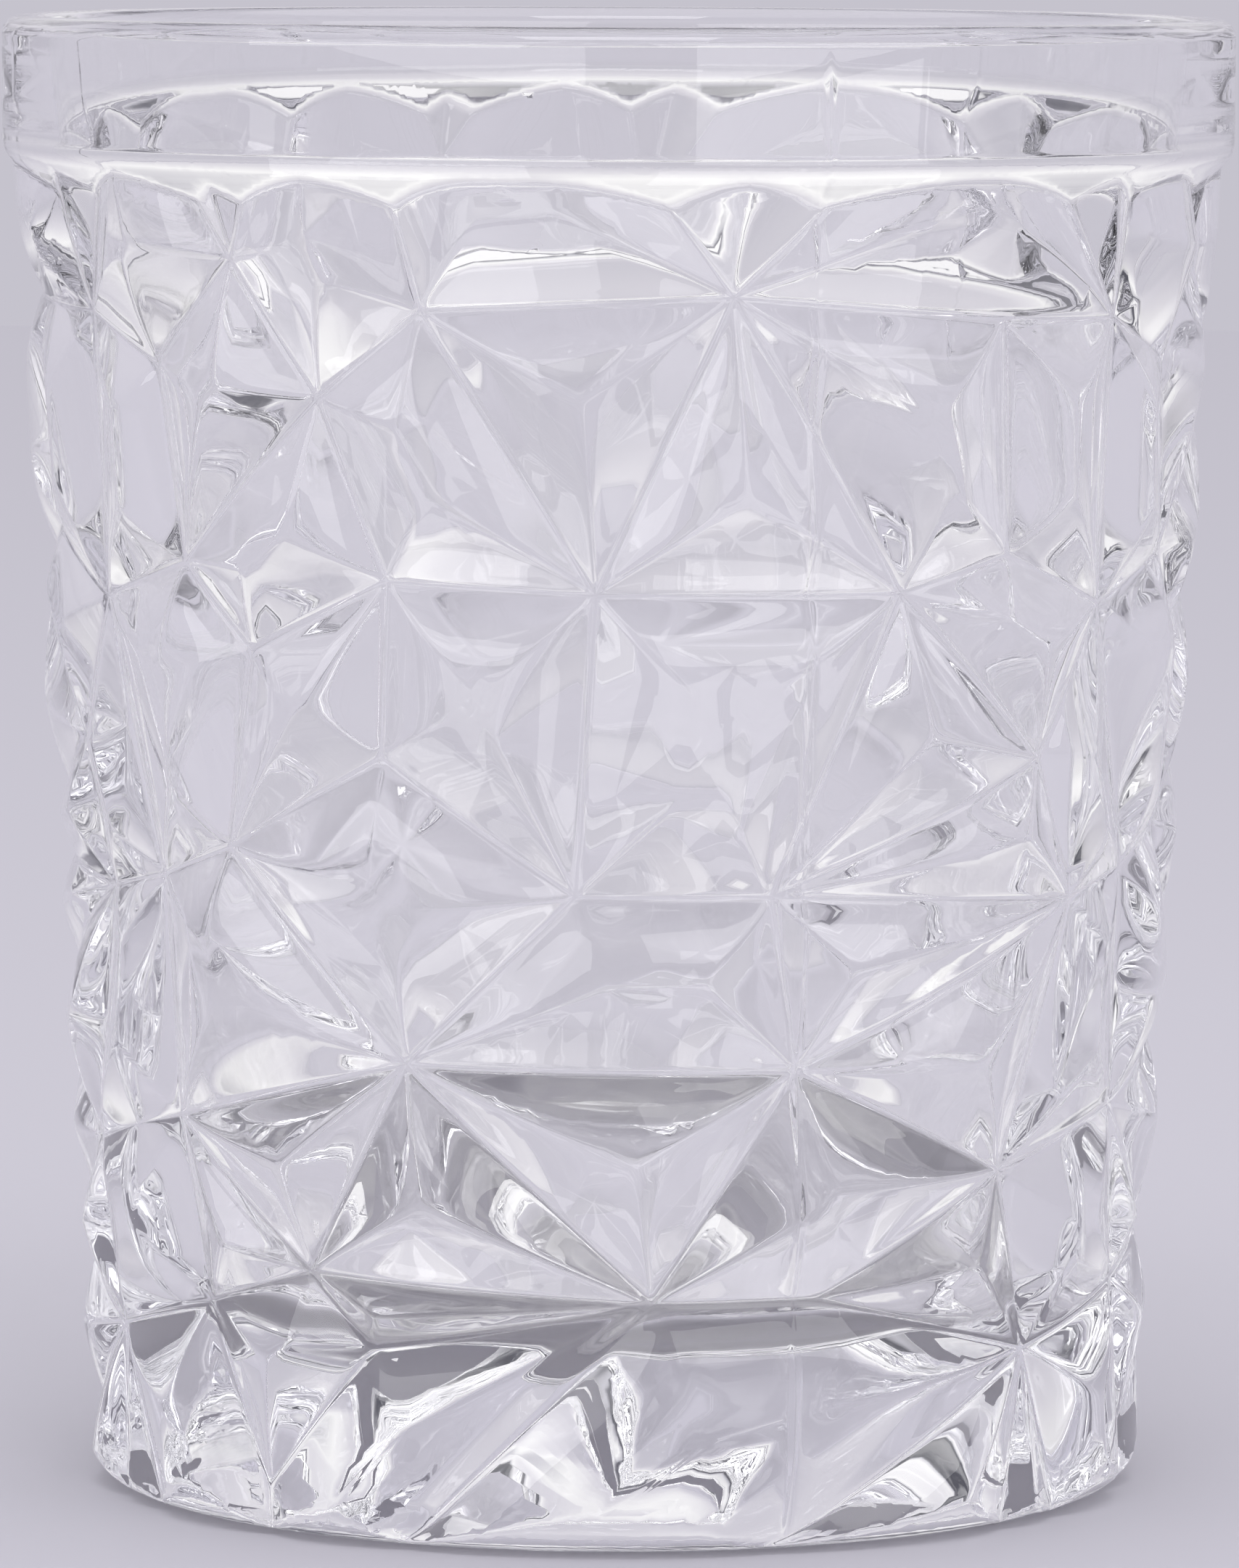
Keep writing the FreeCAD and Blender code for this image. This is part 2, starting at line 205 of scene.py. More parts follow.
# Stars where grooves meet: an angle in degrees from the front towards +X, and a height as a share
# of the relief's. The letter is the row, from the rim (A) down to the foot (H). The outer rows lie
# on run-out lines above and below the relief, so the lowest grooves run out through the heel.
RUN_OUT = 3.5 * MM
TOP = "top"
BOTTOM = "bottom"
STARS = {
    "A1": (-60, TOP), "A2": (-50, TOP), "A3": (-36, TOP), "A4": (-24, TOP),
    "A5": (-1, TOP), "A6": (28, TOP), "A7": (43, TOP),
    "B1": (-63, 0.895), "B2": (-51, 0.861), "B3": (-40, 0.940), "B4": (-19, 0.906),
    "B5": (11, 0.917), "B6": (40, 0.898),
    "C1": (-30, 0.841), "C2": (-48, 0.717), "C3": (-23, 0.711), "C4": (-2, 0.704),
    "C5": (29, 0.702), "C6": (42, 0.727), "C7": (-63, 0.685),
    "D1": (-39, 0.656), "D2": (-24, 0.583), "D3": (48, 0.575),
    "E1": (-43, 0.510), "E2": (-54, 0.484), "E3": (-4, 0.485), "E4": (16, 0.485),
    "E5": (55, 0.469),
    "F1": (-22, 0.360), "F2": (19, 0.357), "F3": (-53, 0.306), "F4": (45, 0.272),
    "G1": (-34, 0.202), "G2": (-49, 0.170), "G3": (-27, 0.148), "G4": (4, 0.188),
    "G5": (22, 0.189), "G6": (50.5, 0.136), "G7": (-41, 0.037),
    "H1": (-41, BOTTOM), "H2": (-29, BOTTOM), "H3": (7, BOTTOM), "H4": (48, BOTTOM),
    "H5": (61, BOTTOM),
}

# Cells between the grooves, each named by its stars. A plus sign is the star one repeat on.
CELLS = [
    "A1 A2 B3 B2 B1", "A2 A3 B3", "A3 A4 B4 C1 B3", "A4 A5 B5 B4", "A5 A6 B5",
    "A6 A7 B1+ B6 B5", "A7 A1+ B1+",
    "B1 B2 C2 C7", "B2 B3 C1 C2", "C1 B4 C4 C3", "B4 B5 C4", "B5 C5 C4", "B5 B6 C6 C5",
    "B6 B1+ C7+ C6",
    "C2 C1 C3 D1", "C7 C2 D1 E1 E2", "D1 C3 D2 E1", "C3 C4 E3 D2", "C4 C5 E4 E3",
    "C5 C6 C7+ D3", "C5 D3 E4", "C7+ E2+ E5 D3", "E4 D3 E5",
    "D2 E3 F1 E1", "E3 E4 F2 F1", "E4 E5 F2", "E2 E1 F1 F3", "E5 E2+ F3+ F4", "F2 E5 F4",
    "F1 F2 G4", "F1 G4 G1", "F3 F1 G1", "F2 F4 G5 G4", "F4 G6 G5", "F3 G1 G2", "F4 F3+ G2+ G6",
    "G1 G4 G3", "G1 G3 G7 G2", "G3 G4 H2 H1 G7", "G4 G5 G6 H3 H2", "G6 H4 H3", "G6 H5 H4",
    "G6 G2+ G7+ H1+ H5",
]

# ---------------------------------------------------------------- fineness of the skin

# Spacing of the relief's points, and the distances from a groove at which its flank gets a row.
POINT_SPACING = 2.0 * MM
FLANK_ROWS = [row * MM for row in (0.2, 0.45, 0.8, 1.3, 2.0, 2.9, 3.9, 4.9, 5.8, 6.7)]
HEEL_ROWS = 8
NECK_ROWS = 10
DOME_ROWS = 8
# Level rows have a column at each step round the glass that is clear of the row's ends, where the
# clearance is a share of a step.
RING_ANGLE = math.radians(1.5)
COLUMN_CLEARANCE = 0.1
# Turned outlines: the angle between points on their arcs, the length of their longest step, and
# the place of the extra points at both ends of a stretch that is long enough to need them.
ARC_STEP = math.radians(9.0)
LONGEST_STEP = 4.0 * MM
STRETCH_END = 0.15 * MM
LONG_STRETCH = 10.0 * STRETCH_END
# Upright lines of the skin along the seam, and how far off the even columns begin, in seam widths.
SEAM_STEPS = (-2, -1, -0.5, 0, 0.5, 1, 2)
SEAM_CLEARANCE = 3.0
# Points nearer than this are one point.
SAME_POINT = 0.0005 * MM
# Lines that cut a cell's outline or its rows run past them by this much.
OVERSHOOT = 0.02 * MM
# The triangulation works in millimetres. Its mode keeps the triangles inside the outline.
INSIDE_ONLY = 1
TRIANGULATION_WELD = 1e-4

# ---------------------------------------------------------------- fixed details of the shape

# The neck's cone grows in radius as fast as in height, which is this angle. The relief runs into
# it with this softness. The relief's skin ends this far above the band's lower corner. The neck's
# rows begin this far below the place where its cone meets the bottoms of the grooves.
NECK_ANGLE = math.radians(45.0)
NECK_SOFTNESS = 0.35 * MM
BAND_OVERLAP = 0.25 * MM
NECK_CLEARANCE = 0.4 * MM
# Where the seam starts above the table and stops below the lip, and how slowly it dies away there.
SEAM_START = 1.0 * MM
SEAM_STOP = 2.0 * MM
SEAM_FADE = 1.0 * MM
# Edges of the ring that the glass stands on. The slope inside it has a run, and a rise that is a
# share of the hollow's depth.
RING_ROUNDING = 1.5 * MM
SLOPE_RUN = 3.0 * MM
SLOPE_RISE = 0.3


class Side:
    """The outside of the glass between the heel and the band, with its relief.

    A place on it has an angle round the glass and a climb. Above the heel the climb is the height;
    round the heel it goes on down along the heel's arc.
    """

    def __init__(self, shape):
        self.shape = shape
        self.height = GLASS_HIGH.z - GLASS_LOW.z
        self.rim_radius = GLASS_HIGH.x
        self.relief_top = self.height - shape.band_height - shape.neck_step
        self.neck_radius = self.rim_radius - shape.neck_step
        self.taper = (self.neck_radius - shape.foot_radius) / self.relief_top
        lean = math.atan(self.taper)
        under = math.atan(shape.heel_rise / shape.heel_width)
        # The heel's arc touches the leaning side and the rising underside.
        turn = math.pi / 2 - lean - under
        self.lean = lean
        corner_radius = shape.foot_radius + self.taper * shape.heel_rise
        reach = shape.heel_rounding * math.tan(turn / 2)
        self.heel_top = shape.heel_rise + reach * math.cos(lean)
        touch = corner_radius + reach * math.sin(lean)
        self.heel_centre = (touch - shape.heel_rounding * math.cos(lean),
                            self.heel_top + shape.heel_rounding * math.sin(lean))
        self.climb_low = self.heel_top - shape.heel_rounding * turn
        self.band_corner = self.height - shape.band_height
        self.climb_high = self.band_corner + BAND_OVERLAP

    def slope_radius(self, height):
        """Radius of the tapered outside of the relief."""
        return self.shape.foot_radius + self.taper * height

    def plain(self, climb):
        """Radius and height of the side with no relief on it."""
        if climb >= self.heel_top:
            return self.slope_radius(climb), climb
        angle = self.lean + (self.heel_top - climb) / self.shape.heel_rounding
        radius, height = self.heel_centre
        return (radius + self.shape.heel_rounding * math.cos(angle),
                height - self.shape.heel_rounding * math.sin(angle))

    def neck(self, height):
        """Radius of the neck cone and of the round above it that leads into the band."""
        rounding = self.shape.band_rounding
        reach = rounding * math.tan(NECK_ANGLE / 2)
        above = height - self.band_corner
        if above < -reach * math.cos(NECK_ANGLE):
            return self.rim_radius + above
        if above > reach:
            return self.rim_radius
        return self.rim_radius - rounding + math.sqrt(rounding ** 2 - (above - reach) ** 2)

    def point(self, angle, climb, distance):
        """Place in space of a point on the relief, a distance from the nearest groove."""
        shape = self.shape
        radius, height = self.plain(climb)
        soft = math.hypot(distance, shape.groove_softness) - shape.groove_softness
        share = 1.0 - min(1.0, soft / shape.groove_reach)
        carved = self.slope_radius(height) - shape.groove_depth * share ** 2
        radius = min(radius, carved)
        radius = -soft_least(-radius, -self.neck(height), NECK_SOFTNESS)
        return turned(radius + self.seam(angle, height), angle, height)

    def seam(self, angle, height):
        """How far the mould seam stands out. It dies away at the heel and under the lip."""
        across = (angle - self.shape.seam_angle) * self.rim_radius / self.shape.seam_width
        from_ends = min(height - SEAM_START, self.height - SEAM_STOP - height)
        fade = min(1.0, max(0.0, from_ends / SEAM_FADE))
        return self.shape.seam_height * math.exp(-across ** 2) * fade


def turned(radius, angle, height):
    """Point in space at a radius, an angle from the front towards +X, and a height."""
    return Vector((radius * math.sin(angle), -radius * math.cos(angle), height))


def soft_least(first, second, softness):
    """The lesser of two numbers, rounded off where they are within the softness of each other."""
    near = max(0.0, softness - abs(first - second))
    return min(first, second) - near * near / (4.0 * softness)


def edges(corners):
    """Pairs of neighbours round a closed outline."""
    return zip(corners, corners[1:] + corners[:1])


def clip(polygon, side):
    """Part of a convex polygon where side(point), a linear function, is not negative."""
    kept = []
    for here, there in edges(polygon):
        a, b = side(here), side(there)
        if a >= 0.0:
            kept.append(here)
        if (a >= 0.0) != (b >= 0.0):
            kept.append(here.lerp(there, a / (a - b)))
    return kept


def chord(polygon, function, level):
    """The stretch of a linear function's level line inside a convex polygon, if any."""
    ends = []
    for here, there in edges(polygon):
        a, b = function(here) - level, function(there) - level
        if (a >= 0.0) != (b >= 0.0):
            ends.append(here.lerp(there, a / (a - b)))
    return ends if len(ends) == 2 else []


class Cell:
    """One cell of the net, laid flat at its own mean radius, with the points of its skin."""

    def __init__(self, side, names):
        self.side = side
        stars = [self.star(name) for name in names.split()]
        self.radius = side.slope_radius(sum(climb for _, climb in stars) / len(stars))
        self.corners = [Vector((self.radius * angle, climb)) for angle, climb in stars]
        if sum(a.cross(b) for a, b in edges(self.corners)) < 0:
            self.corners.reverse()
        self.grooves = [self.inward(a, b) for a, b in edges(self.corners)
                        if not self.is_run_out(a, b)]
        self.points = []
        self.numbers = {}
        self.lines = []

    def star(self, name):
        """Angle and climb of a star, or of its copy one repeat on."""
        degrees, share = STARS[name.rstrip("+")]
        angle = math.radians(degrees) + (REPEAT_ANGLE if name.endswith("+") else 0.0)
        if share == TOP:
            return angle, self.side.relief_top + RUN_OUT
        if share == BOTTOM:
            return angle, -RUN_OUT
        return angle, share * self.side.relief_top

    def is_run_out(self, a, b):
        """Whether an edge lies on a run-out line, where there is no groove."""
        return a.y == b.y and not 0.0 <= a.y <= self.side.relief_top

    def inward(self, a, b):
        """Distance function of a groove, growing into the cell."""
        along = (b - a).normalized()
        normal = Vector((-along.y, along.x))
        return lambda point: normal.dot(point - a)

    def distance(self, point):
        """Distance to the nearest groove, eased where two grooves are about as near."""
        nearest = sorted(groove(point) for groove in self.grooves)[:3]
        least = nearest[0]
        for other in nearest[1:]:
            least = soft_least(least, other, self.side.shape.hip_softness)
        return max(0.0, least)

    def number(self, point):
        """Number of a point of the skin. Points that lie together share one."""
        across, up = round(point.x / SAME_POINT), round(point.y / SAME_POINT)
        for key in itertools.product((across, across - 1, across + 1), (up, up - 1, up + 1)):
            if key in self.numbers:
                return self.numbers[key]
        self.numbers[across, up] = len(self.points)
        self.points.append(point)
        return self.numbers[across, up]

    def draw(self, stops):
        """Line of the skin through some points. Gives the points' numbers."""
        numbers = [self.number(point) for point in stops]
        self.lines += [pair for pair in zip(numbers, numbers[1:]) if pair[0] != pair[1]]
        return numbers

    def draw_past(self, a, b):
        """Line of the skin that runs a little past both its ends, so that it cuts what is there."""
        along = (b - a).normalized() * OVERSHOOT
        self.draw([a - along, b + along])

    def stops(self, a, b):
        """Points along a line. Their number doesn't depend on the cell, so neighbours agree."""
        round_the_glass = (b.x - a.x) / self.radius * self.side.rim_radius
        pieces = max(1, math.ceil(math.hypot(round_the_glass, b.y - a.y) / POINT_SPACING))
        return [a.lerp(b, step / pieces) for step in range(pieces + 1)]

    def draw_outline(self):
        """The cell's edges. Gives the numbers of the points round it."""
        outline = []
        for a, b in edges(self.corners):
            outline += self.draw(self.stops(a, b))[:-1]
        return outline

    def draw_flanks(self):
        """Hips between the flanks, rows along each flank, and a line beside each hip."""
        for groove in self.grooves:
            flank = self.corners
            others = [other for other in self.grooves if other is not groove]
            for other in others:
                flank = clip(flank, lambda point: other(point) - groove(point))
            if len(flank) < 3:
                continue
            for a, b in edges(flank):
                if max(groove(a), groove(b)) > SAME_POINT:
                    self.draw_hip(groove, a, b)
            for row in FLANK_ROWS:
                ends = chord(flank, groove, row)
                if ends and not self.leaves_relief(ends):
                    self.draw(self.stops(*ends))
            inner = clip(flank, lambda point: groove(point) - FLANK_ROWS[0])
            for other in others:
                ends = chord(inner, lambda point: other(point) - groove(point),
                             self.side.shape.hip_softness)
                if ends:
                    self.draw_past(*ends)

    def draw_hip(self, groove, a, b):
        """Line where two flanks meet, with a stop at each row."""
        low, high = sorted((a, b), key=groove)
        start, rise = groove(low), groove(high) - groove(low)
        rows = [row for row in FLANK_ROWS if start < row < start + rise]
        self.draw([low, *(low.lerp(high, (row - start) / rise) for row in rows), high])

    def leaves_relief(self, ends):
        """Whether a line lies wholly above the relief or below it."""
        low, high = self.side.climb_low, self.side.relief_top
        return all(end.y > high for end in ends) or all(end.y < low for end in ends)

    def draw_level_rows(self, climbs):
        """Level rows round the heel and the neck, with a column at each step round the glass."""
        for climb in climbs:
            ends = chord(self.corners, lambda point: point.y, climb)
            if ends:
                left, right = sorted(ends, key=lambda end: end.x)
                first = math.ceil(left.x / self.radius / RING_ANGLE + COLUMN_CLEARANCE)
                last = math.floor(right.x / self.radius / RING_ANGLE - COLUMN_CLEARANCE)
                columns = [Vector((step * RING_ANGLE * self.radius, climb))
                           for step in range(first, last + 1)]
                over = Vector((OVERSHOOT, 0.0))
                self.draw([left - over, *columns, right + over])

    def draw_seam(self):
        """Upright lines along the mould seam."""
        shape = self.side.shape
        for step in SEAM_STEPS:
            angle = shape.seam_angle + step * shape.seam_width / self.side.rim_radius
            ends = chord(self.corners, lambda point: point.x, angle * self.radius)
            if ends:
                self.draw_past(*ends)

    def skin(self, climbs):
        """(angle, climb, distance) of each point of the skin, and its triangles."""
        outline = self.draw_outline()
        self.draw_flanks()
        self.draw_level_rows(climbs)
        self.draw_seam()
        flat = [point / MM for point in self.points]
        flat, _, faces, *_ = delaunay_2d_cdt(flat, self.lines, [outline], INSIDE_ONLY,
                                             TRIANGULATION_WELD)
        places = []
        for point in flat:
            point = point * MM
            places.append((point.x / self.radius, point.y, self.distance(point)))
        return places, faces


# ---------------------------------------------------------------- one repeat of the glass

def rounded(outline):
    """Points along an outline of (radius, height, rounding) corners, with arcs at the corners."""
    points = []
    for index, (radius, height, rounding) in enumerate(outline):
        here = Vector((radius, height))
        if rounding == 0.0:
            points.append(here)
            continue
        before = (Vector(outline[index - 1][:2]) - here).normalized()
        after = (Vector(outline[index + 1][:2]) - here).normalized()
        half = before.angle(after) / 2.0
        reach = rounding / math.tan(half)
        centre = here + (before + after).normalized() * rounding / math.sin(half)
        start, end = here + before * reach - centre, here + after * reach - centre
        turn = math.pi - 2.0 * half
        steps = max(2, math.ceil(turn / ARC_STEP))
        for step in range(steps + 1):
            share = step / steps
            arm = start * math.sin((1.0 - share) * turn) + end * math.sin(share * turn)
            points.append(centre + arm / math.sin(turn))
    return points


def filled(points):
    """An outline's points with more of them put in along its long straight stretches.

    A long stretch also gets a point close to each end, so that its shading stays flat up to there.
    """
    result = [points[0]]
    for a, b in zip(points, points[1:]):
        length = (b - a).length
        pieces = max(1, math.ceil(length / LONGEST_STEP))
        shares = [step / pieces for step in range(1, pieces)]
        if length > LONG_STRETCH:
            shares = [STRETCH_END / length, *shares, 1.0 - STRETCH_END / length]
        result += [a.lerp(b, share) for share in (*shares, 1.0)]
    return result


def even_steps(first, last, count):
    """Numbers from the first to the last in a count of even steps."""
    return [first + (last - first) * step / count for step in range(count + 1)]


class Repeat:
    """Mesh of one repeat of the glass."""

    def __init__(self, shape):
        self.shape = shape
        self.side = Side(shape)
        self.vertices = []
        self.faces = []
        # Angles of the relief's points along its top and its foot, where the rings join on.
        self.top_angles = set()
        self.foot_angles = set()

    def add_relief(self):
        """The outside from the heel's end to the band's lower corner."""
        side = self.side
        neck_low = side.relief_top - self.shape.groove_depth - NECK_CLEARANCE
        heel = even_steps(side.heel_top, side.climb_low, HEEL_ROWS)
        neck = even_steps(neck_low, side.climb_high, NECK_ROWS)
        for names in CELLS:
            places, faces = Cell(side, names).skin(heel + neck)
            numbers = {}
            for face in faces:
                climb = sum(places[index][1] for index in face) / len(face)
                if not side.climb_low < climb < side.climb_high:
                    continue
                for index in face:
                    if index not in numbers:
                        numbers[index] = len(self.vertices)
                        self.vertices.append(side.point(*places[index]))
                self.faces.append([numbers[index] for index in face])
            for angle, climb, _ in (places[index] for index in numbers):
                if abs(climb - side.climb_high) < SAME_POINT:
                    self.top_angles.add(round(angle, 6))
                if abs(climb - side.climb_low) < SAME_POINT:
                    self.foot_angles.add(round(angle, 6))

    def even_columns(self, start):
        """Angles of even columns over one repeat."""
        return even_steps(start, start + REPEAT_ANGLE, round(REPEAT_ANGLE / RING_ANGLE))

    def seam_columns(self, columns):
        """Even columns with closer ones in their place along the mould seam."""
        shape = self.shape
        width = shape.seam_width / self.side.rim_radius
        clear = [angle for angle in columns
                 if abs(angle - shape.seam_angle) > SEAM_CLEARANCE * width]
        return sorted(clear + [shape.seam_angle + step * width for step in SEAM_STEPS])

    def add_rings(self, outline):
        """Skin turned from an outline of (point, columns) rows. A row at the axis has one column."""
        rows = []
        for (radius, height), columns in outline:
            seam = self.side.seam if radius > self.side.neck_radius else lambda *_: 0.0
            row = []
            for angle in columns:
                row.append((angle, len(self.vertices)))
                self.vertices.append(turned(radius + seam(angle, height), angle, height))
            rows.append(row)
        for low, high in zip(rows, rows[1:]):
            self.stitch(low, high)

    def stitch(self, low, high):
        """Triangles between two rows of (angle, number), which may have different columns."""
        while len(low) > 1 or len(high) > 1:
            if len(high) == 1 or len(low) > 1 and low[1][0] <= high[1][0]:
                self.faces.append([low[0][1], low[1][1], high[0][1]])
                low = low[1:]
            else:
                self.faces.append([low[0][1], high[1][1], high[0][1]])
                high = high[1:]

    def add_band_and_bowl(self):
        """From the neck over the lip and down to the middle of the bowl's floor."""
        side, shape = self.side, self.shape
        floor = side.slope_radius(shape.floor_thickness) - shape.foot_wall
        outline = rounded([
            (side.rim_radius - shape.band_rounding, side.band_corner - shape.band_rounding, 0.0),
            (side.rim_radius, side.band_corner, shape.band_rounding),
            (side.rim_radius, side.height, shape.lip_rounding),
            (side.rim_radius - shape.rim_wall, side.height, shape.lip_rounding),
            (floor, shape.floor_thickness, shape.bowl_corner),
            (0.0, shape.floor_thickness, 0.0),
        ])
        start = Vector((side.neck(side.climb_high), side.climb_high))
        above = [point for point in outline[1:] if point.x < start.x - MM or point.y > start.y]
        first = sorted(self.top_angles)
        even = self.even_columns(first[0])
        with_seam = self.seam_columns(even)
        middle_of_lip = side.rim_radius - shape.rim_wall / 2
        rows = filled([start, *above])
        self.add_rings([
            (start, first),
            *((point, with_seam if point.x > middle_of_lip else even) for point in rows[1:-1]),
            (rows[-1], even[:1]),
        ])

    def add_underside(self):
        """From the middle of the underside to the heel's end."""
        side, shape = self.side, self.shape
        stand = shape.foot_radius - shape.heel_width
        hollow = stand - shape.stand_width
        outline = rounded([
            (*side.plain(side.climb_low), 0.0),
            (stand, 0.0, RING_ROUNDING),
            (hollow, 0.0, RING_ROUNDING),
            (hollow - SLOPE_RUN, SLOPE_RISE * shape.punt_depth, 0.0),
        ])
        # The dome takes over from the slope, so the outline's last point isn't used.
        shares = [1 - step / DOME_ROWS for step in range(2, DOME_ROWS + 1)]
        dome = [Vector((hollow * share, shape.punt_depth * (1 - share ** 2))) for share in shares]
        outwards = filled(outline[:-1] + dome)[::-1]
        last = sorted(self.foot_angles)
        even = self.even_columns(last[0])
        self.add_rings([
            (outwards[0], even[:1]),
            *((point, even) for point in outwards[1:-1]),
            (outwards[-1], last),
        ])

    def mesh(self, name):
        """The whole repeat as a Blender mesh."""
        self.add_relief()
        self.add_band_and_bowl()
        self.add_underside()
        mesh = bpy.data.meshes.new(name)
        mesh.from_pydata(self.vertices, [], self.faces)
        mesh.update()
        return mesh


# ---------------------------------------------------------------- node trees

# How many octaves of finer waves the waves and the ripples have on them, and the middle of a
# noise's range.
FINER_OCTAVES = 1.0
NOISE_MIDDLE = 0.5


def new_tree(name, inputs):
    """Geometry node tree with named inputs, and a geometry as its output."""
    tree = bpy.data.node_groups.new(name, "GeometryNodeTree")
    for label, kind in inputs.items():
        tree.interface.new_socket(label, in_out="INPUT", socket_type=kind)
    tree.interface.new_socket("Geometry", in_out="OUTPUT", socket_type="NodeSocketGeometry")
    return tree


def add_node(tree, kind, x, y, **settings):
    """New node at a place in a tree, with some of its properties set."""
    node = tree.nodes.new(kind)
    node.location = (x, y)
    for key, value in settings.items():
        setattr(node, key, value)
    return node


def add_arithmetic(tree, operation, x, y, first, second):
    """Math node of two inputs, each a socket or a number. Gives its result."""
    node = add_node(tree, "ShaderNodeMath", x, y, operation=operation)
    for value, socket in zip((first, second), node.inputs):
        if isinstance(value, bpy.types.NodeSocket):
            tree.links.new(value, socket)
        else:
            socket.default_value = value
    return node.outputs[0]


def turned_copies(tree, source):
    """The repeats, turned round the glass and joined into one skin."""
    link = tree.links.new
    points = add_node(tree, "GeometryNodePoints", -900, 200)
    link(source["Repeats"], points.inputs["Count"])
    index = add_node(tree, "GeometryNodeInputIndex", -1100, -200)
    share = add_arithmetic(tree, "DIVIDE", -900, -200, index.outputs[0], source["Repeats"])
    turn = add_arithmetic(tree, "MULTIPLY", -740, -200, share, math.tau)
    axis = add_node(tree, "ShaderNodeCombineXYZ", -580, -200)
    link(turn, axis.inputs["Z"])
    copies = add_node(tree, "GeometryNodeInstanceOnPoints", -400, 100)
    link(points.outputs[0], copies.inputs["Points"])
    link(source["Geometry"], copies.inputs["Instance"])
    link(axis.outputs[0], copies.inputs["Rotation"])
    real = add_node(tree, "GeometryNodeRealizeInstances", -200, 100)
    link(copies.outputs[0], real.inputs[0])
    merged = add_node(tree, "GeometryNodeMergeByDistance", 0, 100)
    link(real.outputs[0], merged.inputs["Geometry"])
    link(source["Merge Distance"], merged.inputs["Distance"])
    return merged.outputs[0]


def slow_waves(tree, source):
    """How far each point of the skin is moved along its normal."""
    link = tree.links.new
    waves = add_node(tree, "ShaderNodeTexNoise", -200, -300, noise_dimensions="4D")
    waves.inputs["Detail"].default_value = FINER_OCTAVES
    link(source["Wave Scale"], waves.inputs["Scale"])
    link(source["Seed"], waves.inputs["W"])
    centred = add_arithmetic(tree, "SUBTRACT", 0, -300, waves.outputs[0], NOISE_MIDDLE)
    height = add_arithmetic(tree, "MULTIPLY", 160, -300, centred, source["Wave Height"])
    normal = add_node(tree, "GeometryNodeInputNormal", 160, -480)
    offset = add_node(tree, "ShaderNodeVectorMath", 340, -300, operation="SCALE")
    link(normal.outputs[0], offset.inputs[0])
    link(height, offset.inputs["Scale"])
    return offset.outputs[0]


def repeats_tree():
    """Turns the repeats round the glass, joins them and lets the skin wave slowly."""
    tree = new_tree("turned_repeats", {
        "Geometry": "NodeSocketGeometry",
        "Repeats": "NodeSocketInt",
        "Merge Distance": "NodeSocketFloat",
        "Wave Height": "NodeSocketFloat",
        "Wave Scale": "NodeSocketFloat",
        "Seed": "NodeSocketInt",
        "Material": "NodeSocketMaterial",
    })
    link = tree.links.new
    source = add_node(tree, "NodeGroupInput", -1200, 0).outputs
    waved = add_node(tree, "GeometryNodeSetPosition", 520, 100)
    link(turned_copies(tree, source), waved.inputs["Geometry"])
    link(slow_waves(tree, source), waved.inputs["Offset"])
    smooth = add_node(tree, "GeometryNodeSetShadeSmooth", 700, 100)
    link(waved.outputs[0], smooth.inputs["Geometry"])
    final = add_node(tree, "GeometryNodeRealizeInstances", 880, 100)
    link(smooth.outputs[0], final.inputs[0])
    finish = add_node(tree, "GeometryNodeSetMaterial", 1060, 100)
    link(final.outputs[0], finish.inputs["Geometry"])
    link(source["Material"], finish.inputs["Material"])
    sink = add_node(tree, "NodeGroupOutput", 1240, 100)
    link(finish.outputs[0], sink.inputs[0])
    return tree


def applied_nodes(name, mesh, tree, values):
    """New object from a mesh with a node tree's result as its own plain mesh."""
    raw = bpy.data.objects.new(name + "_repeat", mesh)
    bpy.context.scene.collection.objects.link(raw)
    modifier = raw.modifiers.new("Repeats", "NODES")
    modifier.node_group = tree
    for item in tree.interface.items_tree:
        if item.in_out == "INPUT" and item.name in values:
            modifier[item.identifier] = values[item.name]
    depsgraph = bpy.context.evaluated_depsgraph_get()
    result = bpy.data.meshes.new_from_object(raw.evaluated_get(depsgraph))
    result.name = name
    raw.modifiers.remove(modifier)
    bpy.data.objects.remove(raw)
    piece = bpy.data.objects.new(name, result)
    bpy.context.scene.collection.objects.link(piece)
    return piece


# ---------------------------------------------------------------- materials

# Height below which the foot is worn, and the height below which it is worn fully.
WEAR_TOP = 0.08 * MM
WEAR_FULL = 0.02 * MM
# Scuffs in the worn foot per metre, and the detail in them.
SCUFF_SCALE = 900.0
SCUFF_DETAIL = 4.0


def new_material(name):
    """Material with an empty node tree."""
    material = bpy.data.materials.new(name)
    material.use_nodes = True
    material.node_tree.nodes.clear()
    return material


def worn_foot(tree, place):
    """Mask of the scuffed ring where the glass rubs on the table."""
    link = tree.links.new
    height = add_node(tree, "ShaderNodeSeparateXYZ", -800, 0)
    link(place, height.inputs[0])
    foot = add_node(tree, "ShaderNodeMapRange", -600, 0)
    foot.inputs["From Min"].default_value = WEAR_TOP
    foot.inputs["From Max"].default_value = WEAR_FULL
    link(height.outputs["Z"], foot.inputs["Value"])
    scuffs = add_node(tree, "ShaderNodeTexNoise", -800, -300)
    scuffs.inputs["Scale"].default_value = SCUFF_SCALE
    scuffs.inputs["Detail"].default_value = SCUFF_DETAIL
    link(place, scuffs.inputs["Vector"])
    return add_arithmetic(tree, "MULTIPLY", -400, 0, foot.outputs[0], scuffs.outputs[0])


